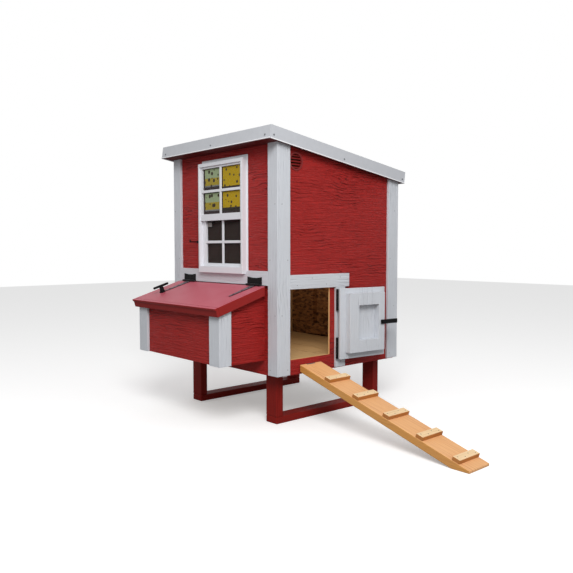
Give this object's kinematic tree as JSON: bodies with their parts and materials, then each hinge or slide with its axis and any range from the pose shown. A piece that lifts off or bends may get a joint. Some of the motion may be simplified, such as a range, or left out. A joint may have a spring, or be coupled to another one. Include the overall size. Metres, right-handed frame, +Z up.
{
  "type": "chicken coop",
  "caption": "Raised timber chicken coop with a shed roof, sash window, hinged nest box, chicken door with a ramp, and a clean-out door.",
  "frame": {"origin": "on the ground, under the middle of the whole object's box with the ramp down", "axes": "+Z up; -Y is the front, with the window and the nest box; +X is the side with the chicken door and the ramp"},
  "size_m": [2.0436, 1.3631, 1.5733],
  "materials": {
    "leg_timber": "satin dark red paint on timber",
    "framing": "sawn pale softwood",
    "floor_ply": "bare plywood",
    "siding": "satin barn red paint over embossed grain",
    "trim": "satin off-white paint",
    "soffit": "dark red paint on plywood",
    "roof_metal": "pale grey coated sheet",
    "screw": "zinc",
    "window_white": "white satin",
    "glass": "clear",
    "screen": "black mesh",
    "lid": "smooth satin red paint",
    "black_iron": "black powder coat",
    "ramp_cedar": "bare cedar",
    "cleat_pine": "bare pine"
  },
  "bodies": {
    "house": {"runners": "leg_timber", "leg_posts": "leg_timber", "floor_frame": "framing", "floor_deck": "floor_ply", "corner_studs": "framing", "top_plates": "framing", "front_wall": "siding", "right_wall": "siding", "left_wall": "siding", "rear_wall": "siding", "corner_boards_front": "trim", "corner_boards_rear": "trim", "front_band": "trim", "door_header": "trim", "door_side_board": "trim", "roof_deck": "soffit", "roof_battens": "framing", "roof_sheet": "roof_metal", "roof_edge_ends": "roof_metal", "roof_edge_sides": "roof_metal", "roof_screws": "screw", "vents": "siding", "window_frame": "window_white", "upper_sash": "window_white", "upper_glass": "glass", "insect_screen": "screen", "nest_front": "siding", "nest_sides": "siding", "nest_floor": "floor_ply", "nest_divider": "floor_ply", "nest_corner_boards": "trim", "lid_hinge_leaves": "black_iron", "lid_hook": "black_iron", "door_hinge_leaves": "black_iron", "hinge_pins": "screw", "ramp_hinge_leaf": "screw", "roost_bar": "framing", "roost_brackets": "framing", "back_door_boards": "trim"},
    "nest_lid": {"lid_panel": "lid", "lid_edge": "lid", "lid_hinge_straps": "black_iron"},
    "lid_latch": {"lid_latch_handle": "black_iron", "lid_latch_cam": "black_iron"},
    "chicken_door": {"door_panel": "trim", "door_frame": "trim", "door_hinge_flaps": "black_iron"},
    "door_latch": {"door_latch_handle": "black_iron", "door_latch_cam": "black_iron"},
    "clean_out_door": {"back_door_panel": "siding", "back_door_frame": "framing", "back_hinge_flaps": "black_iron"},
    "clean_out_latch": {"back_latch_handle": "black_iron", "back_latch_cam": "black_iron"},
    "lower_sash": {"lower_sash": "window_white", "lower_glass": "glass"},
    "ramp": {"ramp_board": "ramp_cedar", "ramp_cleats": "cleat_pine", "ramp_hinge_flap": "screw"}
  },
  "joints": [
    {"name": "nest_lid_hinge", "type": "hinge", "parent": "house", "child": "nest_lid", "pos_m": [-0.51881, -0.36118, 0.75705], "axis": [-1, 0, 0], "range_deg": [0, 84]},
    {"name": "lid_latch_turn", "type": "hinge", "parent": "nest_lid", "child": "lid_latch", "pos_m": [-0.81881, -0.54384, 0.6944], "axis": [0, -0.2924, 0.9563], "range_deg": [0, 90]},
    {"name": "chicken_door_hinge", "type": "hinge", "parent": "house", "child": "chicken_door", "pos_m": [-0.00581, 0.08955, 0.527], "axis": [0, 0, 1], "range_deg": [-163, 0]},
    {"name": "door_latch_turn", "type": "hinge", "parent": "chicken_door", "child": "door_latch", "pos_m": [0.03356, 0.37801, 0.527], "axis": [-0.9945, 0.1045, 0], "range_deg": [0, 90]},
    {"name": "clean_out_door_hinge", "type": "hinge", "parent": "house", "child": "clean_out_door", "pos_m": [-0.81481, 0.64455, 0.727], "axis": [0, 0, 1], "range_deg": [0, 110]},
    {"name": "clean_out_latch_turn", "type": "hinge", "parent": "clean_out_door", "child": "clean_out_latch", "pos_m": [-0.24881, 0.63555, 0.727], "axis": [0, 1, 0], "range_deg": [0, 90]},
    {"name": "sash_slide", "type": "slide", "parent": "house", "child": "lower_sash", "axis": [0, 0, 1], "range_m": [0, 0.25]},
    {"name": "ramp_hinge", "type": "hinge", "parent": "house", "child": "ramp", "pos_m": [-0.02281, -0.09995, 0.32], "axis": [0, -1, 0], "range_deg": [0, 85]}
  ]
}
